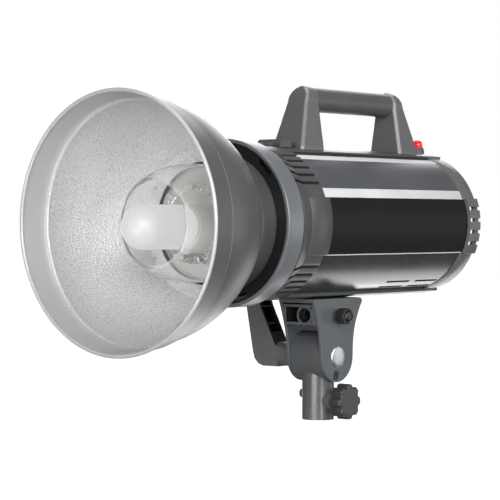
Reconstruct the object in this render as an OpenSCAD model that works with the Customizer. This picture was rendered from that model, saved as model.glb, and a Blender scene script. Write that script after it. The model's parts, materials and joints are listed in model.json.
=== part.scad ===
// Monolight studio strobe: flash head with bayonet reflector, carrying handle and tilting stand bracket.
// The origin is the centre of the stand socket's mouth. +Z is up and the light leaves towards -Y.
// A station s is a distance behind the reflector's rim plane, and heights z are taken from the light's axis.

/* [Reflector] */
// Outside diameter of the reflector's rolled rim
rim_d = 210; // [208:0.5:212]
// Radius of the dish where it meets its back flange
dish_back_r = 63.6; // [63:0.2:64.6]
// Thickness of the reflector's sheet
sheet_t = 1.4; // [1:0.1:1.6]
// Radius of the hole that an umbrella's shaft passes through
shaft_hole_r = 8; // [7:0.5:8.5]
// Number of rivets in the reflector's back
rivet_count = 6; // [4:1:8]
// Twist that frees the reflector's bayonet, in degrees
unlock_turn = 28; // [26:1:30]

/* [Body] */
// Radius of the tubular housing
housing_r = 62; // [61.8:0.1:62]
// Thickness of the housing's skin
skin_t = 1.5; // [1.2:0.1:2]
// Radius of the front mount ring
ring_r = 70; // [69.5:0.5:71]
// Number of grooves in each ribbed patch of the collar
groove_count = 5; // [3:1:5]
// Width of one groove
groove_w = 2.6; // [2:0.2:3]
// Width of one vent slot
vent_w = 2.8; // [2:0.2:3.4]
// Radius of the carrying grip
grip_r = 10.8; // [10.2:0.1:11.2]

/* [Light] */
// Radius of the opal modelling lamp
lamp_r = 18; // [16:0.5:19]
// Radius of the flash tube's ring
tube_ring_r = 30; // [29.5:0.5:30.5]
// Radius of the flash tube's glass
tube_r = 3.2; // [2.6:0.2:3.2]

/* [Bracket] */
// Height of the light's axis above the stand socket's mouth
axis_h = 172; // [172:1:174]
// Height of the tilt pivot above the stand socket's mouth
pivot_h = 55.5; // [55.2:0.1:55.8]
// Distance of the tilt pivot behind the stand socket's axis
pivot_y = 2.5; // [0:0.5:3]
// Radius of the stand socket, for a 5/8 inch spigot
socket_r = 8.1; // [8:0.05:8.2]
// Depth of the stand socket
socket_depth = 40; // [36:1:41]
// Radius of the umbrella socket
umbrella_r = 5.1; // [4.8:0.1:5.2]
// Number of lobes on the stand knob
knob_lobes = 8; // [6:1:9]

/* [Controls] */
// Radius of a push button
button_r = 4.7; // [4:0.1:4.7]
// Radius of the control dial
dial_r = 11; // [9:0.5:11]
// Radius of the sync socket, for a 3.5 mm plug
sync_r = 1.8; // [1.75:0.05:1.9]

/* [Hidden] */
$fn = 96;

// Row position of the rim plane, which is 263 mm in front of the tilt pivot
rim_y = pivot_y - 263;
rim_r = rim_d / 2;
bead_r = 1.6;
running = 0.06;

// Stations along the light's axis
step_s = 23.7;
dish_s = step_s + sheet_t;
back_s = 105;
flange_s = back_s + sheet_t;
seat_s = 131.2;
ring_front_s = 131.3;
ring_rear_s = 151.4;
ring_shelf_s = 137.2;
collar_s = 152.6;
chamfer_s = 166;
collar_end_s = 190;
skin_end_s = 402.9;
cap_s = 403;
cap_end_s = 421;
panel_s = 403.2;
panel_t = 3;
face_s = panel_s + panel_t;

// Radii and heights about the light's axis
step_r = 99.3;
lip_r = 98;
rear_open_r = 50.2;
rivet_ring_r = 59.6;
pin_z = 54.5;
pin_r = 1.5;
skin_gap = 0.1;
panel_r = housing_r + 1.1;
panel_end_s = 402.8;
label_end_s = 399.7;
cap_lap_s = 400;
cap_r = 63.7;
cap_in_r = 61.2;
dome_s = 413;
rail_half = 21.8;
foot_half = 18.5;
collar_r = 65.5;
rail_top = 65.5;
grip_z = 107.7;
leg_r = 3.5;
leg_x = 7.5;
leg_z = -sqrt(pow(tube_ring_r, 2) - pow(leg_x, 2));
umbrella_x = 6.3;
umbrella_z = -79.8;
clamp_s = 261.5;
clamp_z = -80.9;
stand_screw_z = 17;
bolt_r = 5;
lug_angles = [30, 150, 270];
slot_angles = [45.5, 165.5, 285.5];
screw_stations = [230, 240, 370, 380];
vent_angles = [-57.5, -67.5];
vent_stations = [317, 361];
slot_heights = [13.4, 2.8, -7.8, -18.3];
slot_half = 1.5;
dial_z = -12;
button_z = 8;
rocker_x = -32;
rocker_z = -16;
rocker_s = 404.7;
rocker_tilt = 7;
sync_x = 34;
sync_z = -16;
inlet_x = 10;
inlet_z = -40;
inlet_top = -28;
handle_s = 246;
grip_end_s = 360;
base_screw_s = 289;
cheek_x = 16.7;
cheek_t = 2.8;
small_screw = [-1.8, -16.7];
knob_x = 22.9;
thumb_x = 22;

// Builders
module turned() {
    translate([0, rim_y, axis_h])
        rotate([-90, 0, 0])
            rotate_extrude()
                children();
}

module span(s0, s1) {
    translate([0, rim_y + s1, axis_h])
        rotate([90, 0, 0])
            linear_extrude(s1 - s0)
                children();
}

module side_span(x0, x1) {
    translate([x0, rim_y, axis_h])
        rotate([90, 0, 90])
            linear_extrude(x1 - x0)
                children();
}

module spoke(a) {
    translate([0, rim_y, axis_h])
        rotate([0, -a, 0])
            children();
}

module rod_y(r, s0, s1, x = 0, z = 0) {
    translate([x, rim_y + s0, axis_h + z])
        rotate([-90, 0, 0])
            cylinder(r = r, h = s1 - s0);
}

module rod_x(r, x0, x1, s, z) {
    translate([x0, rim_y + s, axis_h + z])
        rotate([0, 90, 0])
            cylinder(r = r, h = x1 - x0);
}

module block(x0, x1, s0, s1, z0, z1) {
    translate([x0, rim_y + s0, axis_h + z0])
        cube([x1 - x0, s1 - s0, z1 - z0]);
}

module both_sides() {
    children();
    mirror([1, 0, 0])
        children();
}

module upside_down() {
    translate([0, 0, 2 * axis_h])
        mirror([0, 0, 1])
            children();
}

module arc_band(r0, r1, a0, a1) {
    reach = 1.3 * r1;
    intersection() {
        difference() {
            circle(r1);
            circle(r0);
        }
        polygon(concat([[0, 0]], [for (i = [0:4]) let (a = a0 + (a1 - a0) * i / 4) reach * [cos(a), sin(a)]]));
    }
}

module knurled(r, notches, notch_r) {
    difference() {
        circle(r);
        for (i = [0:notches - 1])
            rotate(360 * i / notches)
                translate([r + notch_r / 3, 0])
                    circle(notch_r, $fn = 24);
    }
}

module pivot_span(x0, x1) {
    translate([x0, pivot_y, pivot_h])
        rotate([90, 0, 90])
            linear_extrude(x1 - x0)
                children();
}

module pivot_rod(r, x0, x1, y = 0, z = 0) {
    translate([x0, pivot_y + y, pivot_h + z])
        rotate([0, 90, 0])
            cylinder(r = r, h = x1 - x0);
}

// Reflector
dish_steps = 14;
function dish_station(i) = dish_s + (back_s - dish_s) * i / dish_steps;
function dish_radius(i) = dish_back_r + (lip_r - dish_back_r) * (1 - pow(i / dish_steps, 2));

module rivet_places() {
    for (i = [0:rivet_count - 1])
        spoke(30 + 360 * i / rivet_count)
            translate([rivet_ring_r, 0, 0])
                rotate([-90, 0, 0])
                    children();
}

module reflector_dish() {
    outside = [for (i = [0:dish_steps]) [dish_radius(i), dish_station(i)]];
    inside = [for (i = [dish_steps:-1:0]) [dish_radius(i) - 1.25 * sheet_t, dish_station(i)]];
    rear = [[dish_back_r, flange_s], [rear_open_r, flange_s], [rear_open_r, back_s]];
    step = [[lip_r - 1.25 * sheet_t, step_s], [step_r, step_s], [rim_r - bead_r - 0.7, bead_r]];
    lip = [[rim_r - bead_r + 0.7, bead_r], [step_r + sheet_t, step_s], [step_r + sheet_t, dish_s]];
    color("gainsboro")
        difference() {
            turned()
                union() {
                    polygon(concat(lip, outside, rear, inside, step));
                    translate([rim_r - bead_r, bead_r])
                        circle(bead_r, $fn = 32);
                }
            rod_y(shaft_hole_r, 55, 100, umbrella_x, umbrella_z);
            rivet_places()
                translate([0, 0, back_s - 1])
                    cylinder(r = 1.25, h = 4);
        }
}

module reflector_collar() {
    color("dimgray")
        difference() {
            union() {
                turned()
                    polygon([
                        [50.4, flange_s], [62, flange_s], [62, flange_s + 2], [57, flange_s + 2],
                        [57, seat_s], [51.5, seat_s], [51.5, 140.5], [49.5, 140.5],
                        [49.5, 126], [53.5, 126], [53.5, flange_s + 2], [50.4, flange_s + 2]
                    ]);
                for (a = lug_angles)
                    span(137.5, 140.5)
                        arc_band(51.4, 55.3, a - 12, a + 12);
            }
            span(127.5, seat_s + 0.1)
                arc_band(pin_z - 1.9, pin_z + 1.9, 86, 94 + unlock_turn);
            rivet_places()
                translate([0, 0, back_s - 1])
                    cylinder(r = 1.25, h = 6);
        }
}

module reflector_rivets() {
    color("silver")
        rivet_places() {
            translate([0, 0, back_s - 0.9])
                cylinder(r = 2, h = 0.9);
            translate([0, 0, back_s - 0.1])
                cylinder(r = 1.2, h = 3.6);
            translate([0, 0, flange_s + 2])
                cylinder(r = 2, h = 0.9);
        }
}

// Front mount
module mount_ring() {
    color("gray")
        turned()
            polygon([
                [67, ring_front_s], [ring_r - 0.8, ring_front_s], [ring_r, ring_front_s + 0.8],
                [ring_r, ring_rear_s - 0.8], [ring_r - 0.8, ring_rear_s], [62, ring_rear_s],
                [62, ring_shelf_s], [67, ring_shelf_s]
            ]);
}

module bayonet_plate() {
    color("black")
        span(ring_front_s + 0.3, ring_shelf_s)
            difference() {
                circle(66.9);
                circle(51.8);
                for (a = lug_angles)
                    arc_band(51, 55.8, a - unlock_turn - 14, a - unlock_turn + 14);
                for (a = slot_angles)
                    arc_band(61, 65.6, a - 7.5, a + 7.5);
                translate([0, pin_z])
                    circle(pin_r + 0.3);
            }
}

module collar_groove(a) {
    spoke(a) {
        translate([0, 0, -groove_w / 2])
            linear_extrude(groove_w)
                polygon([
                    [collar_r + 2.4, 150], [collar_r - 1.6, chamfer_s], [collar_r - 1.6, 192],
                    [collar_r + 3, 192], [collar_r + 3, 175], [collar_r + 8, 150]
                ]);
    }
}

module nose_collar() {
    color("gray")
        difference() {
            union() {
                turned()
                    polygon([
                        [housing_r + skin_gap, collar_s], [69.4, collar_s], [collar_r, chamfer_s],
                        [collar_r, collar_end_s], [housing_r + skin_gap, collar_end_s]
                    ]);
                both_sides()
                    span(chamfer_s + 1, 194.6)
                        arc_band(housing_r + 2 * skin_gap, 66.3, -24, 19);
            }
            both_sides()
                for (i = [0:groove_count - 1]) {
                    collar_groove(30.6 + 7.3 * i);
                    collar_groove(-33.6 - 7.3 * i);
                }
            block(-3, 3, 164, 184, 55, 72);
        }
}

// Housing
module rail_screw_bores() {
    for (s = screw_stations)
        translate([0, rim_y + s, axis_h + 56])
            cylinder(r = 2, h = 24);
}

module base_screw_bores() {
    for (x = [-8, 8])
        translate([x, rim_y + base_screw_s, axis_h - 70])
            cylinder(r = 2.05, h = 12);
}

module housing() {
    color("gray")
        difference() {
            turned()
                translate([housing_r - skin_t, 178])
                    square([skin_t, skin_end_s - 178]);
            both_sides()
                for (a = vent_angles, s = vent_stations)
                    spoke(a)
                        translate([housing_r - 4, s, -vent_w / 2])
                            cube([8, 35, vent_w]);
            rail_screw_bores();
            base_screw_bores();
        }
}

module panel_band(r1, a0, a1, s0, s1) {
    span(s0, s1)
        arc_band(housing_r + 0.02, r1, a0, a1);
}

module label_panel() {
    panel_band(housing_r + 0.8, 28.4, 59.6, 191, label_end_s);
}

module label_panel_right() {
    color("dimgray")
        label_panel();
}

module label_panel_left() {
    color("dimgray")
        mirror([1, 0, 0])
            label_panel();
}

module side_panel_right() {
    color("black")
        panel_band(panel_r, -24.6, 19.8, 195, panel_end_s);
}

module side_panel_left() {
    color("black")
        mirror([1, 0, 0])
            panel_band(panel_r, -24.6, 19.8, 195, panel_end_s);
}

module silver_strips() {
    color("silver")
        both_sides() {
            panel_band(housing_r + 1, 60, 67, 191, label_end_s);
            panel_band(housing_r + 1, 20.2, 28, 191, label_end_s);
        }
}

module rail_outline(half) {
    lean = asin(half / rail_top);
    arc_band(rail_top - 1.5, rail_top, 90 - lean, 90 + lean);
    arc_band(housing_r + 0.02, rail_top - 1.4, 91.8 - lean, 88.2 + lean);
}

module top_rail() {
    color("dimgray")
        difference() {
            span(collar_end_s + 0.5, label_end_s)
                rail_outline(rail_half);
            rail_screw_bores();
        }
}

module bottom_rail() {
    color("dimgray")
        difference() {
            upside_down()
                span(collar_end_s + 0.5, label_end_s)
                    rail_outline(foot_half);
            base_screw_bores();
        }
}

// Rear end
module cap_crest(half) {
    lean = asin(half / rail_top);
    intersection() {
        span(cap_lap_s, cap_end_s - 1.2)
            arc_band(cap_r - 1.2, rail_top, 90 - lean, 90 + lean);
        side_span(-rail_half - 1, rail_half + 1)
            polygon([[399, 50], [399, 68], [416, 68], [421, 62.8], [421, 50]]);
    }
}

module cap_slots() {
    both_sides()
        for (z = slot_heights)
            block(56, 70, 403.6, 413.4, z - slot_half, z + slot_half);
    intersection() {
        both_sides()
            for (z = slot_heights)
                block(56, 70, 405, 423, z - slot_half, z + slot_half);
        turned()
            translate([cap_r + 0.2, 405])
                square([6, 20]);
    }
}

module rear_cap() {
    color("dimgray")
        difference() {
            union() {
                turned()
                    polygon([
                        [cap_in_r, cap_s], [housing_r + skin_gap, cap_s], [housing_r + skin_gap, cap_lap_s],
                        [housing_r + 0.6, cap_lap_s], [cap_r, cap_lap_s + 5], [cap_r, cap_end_s - 2.5],
                        [cap_r - 1.6, cap_end_s], [cap_in_r, cap_end_s]
                    ]);
                both_sides()
                    span(cap_s, cap_end_s - 1.2)
                        arc_band(cap_r - 1.2, 66, -25, 20);
                cap_crest(rail_half);
                upside_down()
                    cap_crest(foot_half);
            }
            both_sides()
                span(cap_lap_s - 1, cap_s - 0.1)
                    arc_band(60.5, 70, -24.9, 20.1);
            cap_slots();
            translate([0, rim_y + dome_s, axis_h + 62.6])
                cylinder(r = 6.65, h = 5);
        }
}

module rear_panel() {
    color("black")
        difference() {
            rod_y(cap_in_r - 0.05, panel_s, face_s);
            block(-70, 70, panel_s - 1, face_s + 1, -70, inlet_top);
            block(-22, 22, panel_s - 1, face_s + 1, 20, 40);
            for (x = [-33, -11, 11, 33])
                rod_y(button_r + 0.3, panel_s - 1, face_s + 1, x, button_z);
            rod_y(3 + running, panel_s - 1, face_s + 1, 0, dial_z);
            rod_y(4.05, panel_s - 1, face_s + 1, sync_x, sync_z);
            block(rocker_x - 7.4, rocker_x + 7.4, panel_s - 1, face_s + 1, rocker_z - 11.4, rocker_z + 11.4);
            rod_x(1.25, rocker_x - 9.2, rocker_x + 9.2, rocker_s, rocker_z);
        }
}

module display_window() {
    color("darkslategray")
        block(-21.9, 21.9, face_s - 1.5, face_s, 20.1, 39.9);
}

module mains_inlet() {
    color("black") {
        difference() {
            union() {
                difference() {
                    rod_y(cap_in_r - 0.05, panel_s, face_s);
                    block(-70, 70, panel_s - 1, face_s + 1, inlet_top - 0.05, 70);
                }
                block(inlet_x - 14, inlet_x + 14, 393, face_s + 2.2, inlet_z - 10, inlet_z + 10);
            }
            block(inlet_x - 12, inlet_x + 12, 394.5, 410, inlet_z - 8, inlet_z + 8);
            block(-27, -11, panel_s - 1, face_s + 1, -46, -36);
        }
        for (x = [inlet_x - 7, inlet_x + 7])
            block(x - 1, x + 1, 394.4, 407, inlet_z - 3, inlet_z + 1);
        block(inlet_x - 1, inlet_x + 1, 394.4, 407, inlet_z + 3, inlet_z + 7);
    }
}

module sync_jack() {
    color("silver")
        difference() {
            union() {
                rod_y(5.5, 394, panel_s, sync_x, sync_z);
                rod_y(4, panel_s - 0.1, face_s + 2.8, sync_x, sync_z);
            }
            rod_y(sync_r, 395, 410, sync_x, sync_z);
        }
}

module dome_base() {
    color("gray")
        translate([0, rim_y + dome_s, axis_h + 62.7]) {
            cylinder(r = 6.6, h = 4.3);
            translate([0, 0, 4.2])
                cylinder(r1 = 6.6, r2 = 5.6, h = 3.8);
        }
}

module sensor_dome() {
    color("red")
        translate([0, rim_y + dome_s, axis_h + 70.7]) {
            cylinder(r = 5, h = 2.6);
            translate([0, 0, 2.6])
                difference() {
                    sphere(5);
                    translate([-6, -6, -6])
                        cube([12, 12, 6]);
                }
        }
}

// Carrying handle
module upright_outline() {
    difference() {
        union() {
            polygon([[-17.8, 61], [17.8, 61], [11.3, grip_z - 2], [-11.3, grip_z - 2]]);
            translate([0, grip_z])
                circle(11.5);
        }
        circle(rail_top + 0.02);
    }
}

module handle_front() {
    color("gray")
        difference() {
            intersection() {
                span(214, 247)
                    upright_outline();
                side_span(-20, 20)
                    polygon([[215.4, 61], [handle_s, 61], [handle_s, 120], [236, 120], [231, 111]]);
            }
            rail_screw_bores();
        }
}

module handle_rear() {
    color("gray")
        difference() {
            intersection() {
                span(355, 390)
                    upright_outline();
                side_span(-20, 20)
                    polygon([
                        [grip_end_s, 61], [389.6, 61], [371.5, 111],
                        [366.5, 120], [grip_end_s, 120]
                    ]);
            }
            rail_screw_bores();
        }
}

module handle_grip() {
    color("dimgray")
        rod_y(grip_r, handle_s, grip_end_s, 0, grip_z);
}

module handle_screws() {
    color("silver")
        for (s = screw_stations)
            translate([0, rim_y + s, axis_h + 57.6]) {
                cylinder(r = 3.5, h = 2.2);
                translate([0, 0, 2])
                    cylinder(r = 1.95, h = 19);
            }
}

// Reflector latch
module latch_slider() {
    color("dimgray")
        difference() {
            intersection() {
                span(167, 211)
                    difference() {
                        translate([-13, 60])
                            square([26, 12]);
                        circle(rail_top + 0.4);
                    }
                side_span(-14, 14)
                    polygon([
                        [167.6, 60], [209.5, 60], [209.5, 69.5], [208, 71.5],
                        [194.5, 71.5], [190.4, 68], [167.6, 68]
                    ]);
            }
            both_sides()
                block(4, 15, 167, 190.4, 60, 72);
            block(8.9, 14, 206.4, 212, 60, 69.3);
            for (i = [0:2])
                block(-15, 15, 195.5 + 4 * i, 197.1 + 4 * i, 70.7, 72);
        }
}

module latch_pin() {
    color("silver") {
        rod_y(pin_r, 129, 171.5, 0, pin_z);
        block(-1.8, 1.8, 168, 172, pin_z, 65.8);
        block(9, 13.4, 206.5, 211.8, 66.2, 69.2);
    }
}

// Parts inside the housing
module chassis() {
    color("lightsteelblue")
        difference() {
            union() {
                turned()
                    polygon([
                        [20, ring_rear_s], [66, ring_rear_s], [66, collar_s - 0.1], [61.8, collar_s - 0.1],
                        [61.8, 156], [20, 156]
                    ]);
                both_sides()
                    block(39, 42, 155.9, 384.1, -34, 34);
                block(-42, 42, 384, 386, -34, 34);
            }
            rod_y(pin_r + 0.3, 150, 158, 0, pin_z);
            for (s = [200, 260, 320])
                rod_x(14, -50, 50, s, 0);
            rod_y(18, 380, 390);
        }
}

module capacitors() {
    color("midnightblue")
        for (x = [-19, 19], z = [-19, 19]) {
            rod_y(17.5, 158, 232, x, z);
            rod_y(3, 231.9, 236, x, z);
        }
}

module power_board() {
    color("darkgreen") {
        block(-38, 38, 240, 372, -37.6, -36);
        block(-32, -14, 250, 300, -36.1, -14);
        block(8, 32, 252, 292, -36.1, -18);
        for (s = [306, 320, 334], x = [-24, 0, 24])
            translate([x, rim_y + s, axis_h - 36.1])
                cylinder(r = 5, h = 12);
    }
}

module control_board() {
    color("darkgreen") {
        block(-40, 40, 387, 388.6, -30, 42);
        block(-24, 24, 388.5, 403, 19, 41);
        rod_y(7, 388.5, 392, 0, dial_z);
        for (x = [-33, -11, 11, 33])
            rod_y(3, 388.5, 397, x, button_z);
    }
}

module trigger_transformer() {
    color("goldenrod") {
        block(-16, 16, 246, 284, -4, 24);
        rod_y(9, 283.9, 300, 0, 10);
    }
}

module fan_frame() {
    color("black")
        difference() {
            union() {
                span(345, 360)
                    difference() {
                        square(60, center = true);
                        circle(28);
                    }
                rod_y(13, 357.5, 360);
                for (a = [45:90:315])
                    spoke(a)
                        translate([12, 357.5, -2])
                            cube([18, 2.5, 4]);
            }
            rod_y(1.5 + running, 356, 361);
        }
}

module fan_rotor() {
    color("dimgray") {
        rod_y(12.5, 346, 356.5);
        rod_y(1.5, 356.4, 359.8);
        for (i = [0:6])
            spoke(360 * i / 7)
                translate([19.5, 351, 0])
                    rotate([35, 0, 0])
                        cube([15.5, 10, 1.2], center = true);
    }
}

// Light source
module front_plate() {
    color("whitesmoke")
        difference() {
            turned()
                polygon([
                    [10, 108], [44.8, 108], [44.8, 109], [46.4, 109], [46.4, 108], [48.9, 108],
                    [48.9, ring_rear_s], [46.9, ring_rear_s], [46.9, 111], [10, 111]
                ]);
            for (x = [-leg_x, leg_x])
                rod_y(leg_r + 0.1, 107, 112, x, leg_z);
        }
}

module flash_tube() {
    color("lightcyan") {
        difference() {
            translate([0, rim_y + 92, axis_h])
                rotate([-90, 0, 0])
                    rotate_extrude()
                        translate([tube_ring_r, 0])
                            circle(tube_r, $fn = 32);
            block(-leg_x, leg_x, 85, 99, -40, -20);
        }
        for (x = [-leg_x, leg_x])
            rod_y(leg_r, 88.2, 111.5, x, leg_z);
    }
}

module tube_clips() {
    color("silver") {
        for (a = [15, 90, 165])
            spoke(a)
                translate([tube_ring_r, 95.4, 0])
                    rotate([-90, 0, 0]) {
                        cylinder(r = 2.4, h = 1.2);
                        cylinder(r = 1.2, h = 12.6);
                    }
        for (x = [-leg_x, leg_x])
            difference() {
                rod_y(leg_r + 1.1, 99, 107.9, x, leg_z);
                rod_y(leg_r + 0.05, 98, 109, x, leg_z);
            }
    }
}

module lamp_socket() {
    color("ivory")
        difference() {
            rod_y(19, 92, 107.9, 0, -3);
            rod_y(13.4, 91, 104, 0, -3);
        }
}

module lamp_cap() {
    color("goldenrod") {
        rod_y(12.4, 87.5, 101, 0, -3);
        for (s = [89:4:97])
            rod_y(13.2, s, s + 2.4, 0, -3);
        rod_y(5, 100.9, 103.8, 0, -3);
    }
}

module lamp_bulb() {
    color("white")
        translate([0, rim_y + 34.5, axis_h - 3])
            rotate([-90, 0, 0])
                rotate_extrude()
                    union() {
                        intersection() {
                            circle(lamp_r);
                            translate([0, -2 * lamp_r])
                                square([2 * lamp_r, 2 * lamp_r]);
                        }
                        polygon([[0, 0], [lamp_r, 0], [lamp_r, 42], [12.4, 49], [12.4, 53], [0, 53]]);
                    }
}

module glass_cover() {
    bell = [[36.4, 47], [40.4, 54], [43, 60], [45.6, 68], [47.4, 77], [48.3, 86], [48.5, 95], [48.5, 107.9]];
    inside = [for (i = [len(bell) - 1:-1:0]) [bell[i][0] - 2, bell[i][1]]];
    color("aliceblue", 0.4)
        turned()
            union() {
                polygon(concat(bell, inside));
                translate([35.6, 47])
                    circle(1.8, $fn = 32);
            }
}

// Stand bracket
module bracket_base() {
    color("gray")
        difference() {
            block(-cheek_x, cheek_x, 229, 297, -69, -65.6);
            base_screw_bores();
        }
}

module cheek() {
    outer_x = cheek_x + cheek_t;
    difference() {
        union() {
            pivot_rod(22.5, cheek_x, outer_x);
            pivot_span(cheek_x, outer_x)
                polygon([
                    [-18, -8], [-24.2, 20.7], [-30.5, 41.2], [-34.5, 50.8], [34.5, 50.8],
                    [36.9, 48.3], [32.9, 42.1], [26.2, 28.9], [22.9, 14], [18, -8]
                ]);
        }
        pivot_rod(bolt_r + 0.02, cheek_x - 1, outer_x + 1);
        pivot_rod(2.05, cheek_x - 1, outer_x + 1, small_screw[0], small_screw[1]);
        pivot_rod(4.1, outer_x - 1.2, outer_x + 1, small_screw[0], small_screw[1]);
    }
}

module cheek_right() {
    color("gray")
        difference() {
            cheek();
            rod_x(2.5 + running, cheek_x - 1, cheek_x + cheek_t + 1, clamp_s, clamp_z);
        }
}

module cheek_left() {
    color("gray")
        mirror([1, 0, 0])
            cheek();
}

module umbrella_holder() {
    color("dimgray")
        difference() {
            span(233, 279)
                difference() {
                    union() {
                        difference() {
                            translate([-16.7, -88])
                                square([33.4, 17.5]);
                            translate([-14, -85.8])
                                square([28, 13.1]);
                        }
                        translate([umbrella_x, umbrella_z])
                            circle(8.6);
                    }
                    translate([umbrella_x, umbrella_z])
                        circle(umbrella_r);
                }
            span(232, 239)
                translate([umbrella_x, umbrella_z])
                    rotate(22.5)
                        circle(6.7, $fn = 8);
            rod_x(2.5 + running, umbrella_x, 18, clamp_s, clamp_z);
        }
}

module bracket_screws() {
    head_x = cheek_x + cheek_t;
    color("silver") {
        both_sides()
            difference() {
                union() {
                    pivot_rod(2, cheek_x + 0.1, head_x - 1, small_screw[0], small_screw[1]);
                    pivot_rod(3.9, head_x - 1.1, head_x + 0.1, small_screw[0], small_screw[1]);
                }
                for (a = [45, 135])
                    translate([head_x - 0.5, pivot_y + small_screw[0], pivot_h + small_screw[1]])
                        rotate([a, 0, 0])
                            translate([0, -2.6, -0.5])
                                cube([2, 5.2, 1]);
            }
        for (x = [-8, 8])
            translate([x, rim_y + base_screw_s, axis_h - 71]) {
                cylinder(r = 3.6, h = 2);
                cylinder(r = 2, h = 12);
            }
    }
}

module pivot_bolt() {
    cap_x = cheek_x + cheek_t;
    color("silver") {
        pivot_rod(bolt_r, -60, cap_x + 0.1);
        pivot_rod(9.6, cap_x, cap_x + 0.9);
        translate([cap_x + 0.9, pivot_y, pivot_h])
            rotate([0, 90, 0])
                cylinder(r1 = 9.4, r2 = 6.6, h = 0.9);
    }
}

module umbrella_screw() {
    color("black")
        difference() {
            union() {
                translate([thumb_x, rim_y + clamp_s, axis_h + clamp_z])
                    rotate([0, 90, 0])
                        linear_extrude(10.4)
                            knurled(7, 22, 0.7);
                translate([thumb_x + 10.3, rim_y + clamp_s, axis_h + clamp_z])
                    rotate([0, 90, 0])
                        cylinder(r1 = 6.3, r2 = 5.2, h = 1.7);
            }
            rod_x(2.5 + running, thumb_x - 1, 27.3, clamp_s, clamp_z);
        }
}

module umbrella_pad() {
    color("silver")
        rod_x(2.5, 11.5, 27, clamp_s, clamp_z);
}

// Tilt lever
module lever_outline() {
    polygon([
        [-40, -11], [-57, -11], [-62.5, -9], [-66.6, -4.8], [-68.6, 2], [-76, 42], [-79, 62],
        [-77, 66], [-71, 66], [-67.5, 62], [-60, 42], [-43, 8], [-40, 6]
    ]);
}

module lever_slab(half_depth) {
    translate([0, pivot_y + half_depth, pivot_h])
        rotate([90, 0, 0])
            linear_extrude(2 * half_depth)
                children();
}

module tilt_lever() {
    color("dimgray")
        difference() {
            union() {
                pivot_rod(10.7, -58, -19.8);
                difference() {
                    lever_slab(9.5)
                        lever_outline();
                    lever_slab(7.4)
                        polygon([[-68, 14], [-73.2, 42], [-76, 61], [-71, 64], [-66, 62], [-57, 42], [-47.4, 20]]);
                }
                for (z = [26, 41, 56])
                    lever_slab(7.6)
                        translate([-67.3 - 0.18 * z, z])
                            square([24 - z / 4, 1.6]);
            }
            pivot_rod(bolt_r + running, -60.5, -19);
        }
}

// Stand adapter
module stand_adapter() {
    color("gray")
        difference() {
            union() {
                pivot_rod(21.8, -16.4, 16.4);
                cylinder(r = 14.2, h = pivot_h - 12);
                translate([10, 0, stand_screw_z])
                    rotate([0, 90, 0])
                        cylinder(r = 9, h = 10.2);
                translate([-18, 0, 22])
                    rotate([0, 90, 0])
                        cylinder(r = 4, h = 6);
            }
            pivot_rod(bolt_r + running, -20, 20);
            translate([0, 0, -1])
                cylinder(r = socket_r, h = socket_depth + 1);
            translate([4, 0, stand_screw_z])
                rotate([0, 90, 0])
                    cylinder(r = 3 + running, h = 20);
        }
}

module clamp_pad() {
    color("silver")
        translate([8.4, 0, stand_screw_z])
            rotate([0, 90, 0])
                cylinder(r = 3, h = 19.1);
}

module stand_knob() {
    color("black")
        difference() {
            translate([knob_x, 0, stand_screw_z])
                rotate([0, 90, 0])
                    linear_extrude(12.4)
                        knurled(15.8, knob_lobes, 3.5);
            translate([knob_x - 1, 0, stand_screw_z])
                rotate([0, 90, 0])
                    cylinder(r = 3 + running, h = 5.9);
        }
}

// Controls
module push_button(x) {
    rod_y(button_r, 401, face_s + 2.8, x, button_z);
    rod_y(button_r + 1.3, 400.6, 402.8, x, button_z);
}

module button_up() {
    color("gainsboro")
        push_button(-33);
}

module button_down() {
    color("gainsboro")
        push_button(-11);
}

module button_test() {
    color("gainsboro")
        push_button(11);
}

module button_lamp() {
    color("gainsboro")
        push_button(33);
}

module control_dial() {
    color("black") {
        span(face_s + 0.4, face_s + 10)
            translate([0, dial_z])
                knurled(dial_r, 30, 0.6);
        rod_y(dial_r - 1.6, face_s + 9.9, face_s + 10.8, 0, dial_z);
        rod_y(3, 392.5, face_s + 0.5, 0, dial_z);
    }
}

module power_rocker() {
    color("black")
        translate([rocker_x, rim_y + rocker_s, axis_h + rocker_z])
            rotate([rocker_tilt, 0, 0]) {
                translate([-7, -4, -10])
                    cube([14, 8.2, 20]);
                rotate([0, 90, 0])
                    cylinder(r = 1.2, h = 17.6, center = true);
            }
}

module fuse_drawer() {
    color("black") {
        block(-26.7, -11.3, 394, face_s + 0.4, -45.7, -36.3);
        block(-28, -10, face_s + 0.3, face_s + 2.3, -47, -35);
    }
}

reflector_dish();
reflector_collar();
reflector_rivets();
mount_ring();
bayonet_plate();
nose_collar();
housing();
label_panel_right();
label_panel_left();
side_panel_right();
side_panel_left();
silver_strips();
top_rail();
bottom_rail();
rear_cap();
rear_panel();
display_window();
mains_inlet();
sync_jack();
dome_base();
sensor_dome();
handle_front();
handle_rear();
handle_grip();
handle_screws();
chassis();
capacitors();
power_board();
control_board();
trigger_transformer();
fan_frame();
front_plate();
flash_tube();
tube_clips();
lamp_socket();
lamp_bulb();
lamp_cap();
glass_cover();
bracket_base();
cheek_right();
cheek_left();
umbrella_holder();
bracket_screws();
pivot_bolt();
latch_slider();
latch_pin();
fan_rotor();
button_up();
button_down();
button_test();
button_lamp();
control_dial();
power_rocker();
fuse_drawer();
tilt_lever();
umbrella_screw();
umbrella_pad();
stand_adapter();
clamp_pad();
stand_knob();
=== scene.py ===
import json
import math

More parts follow.
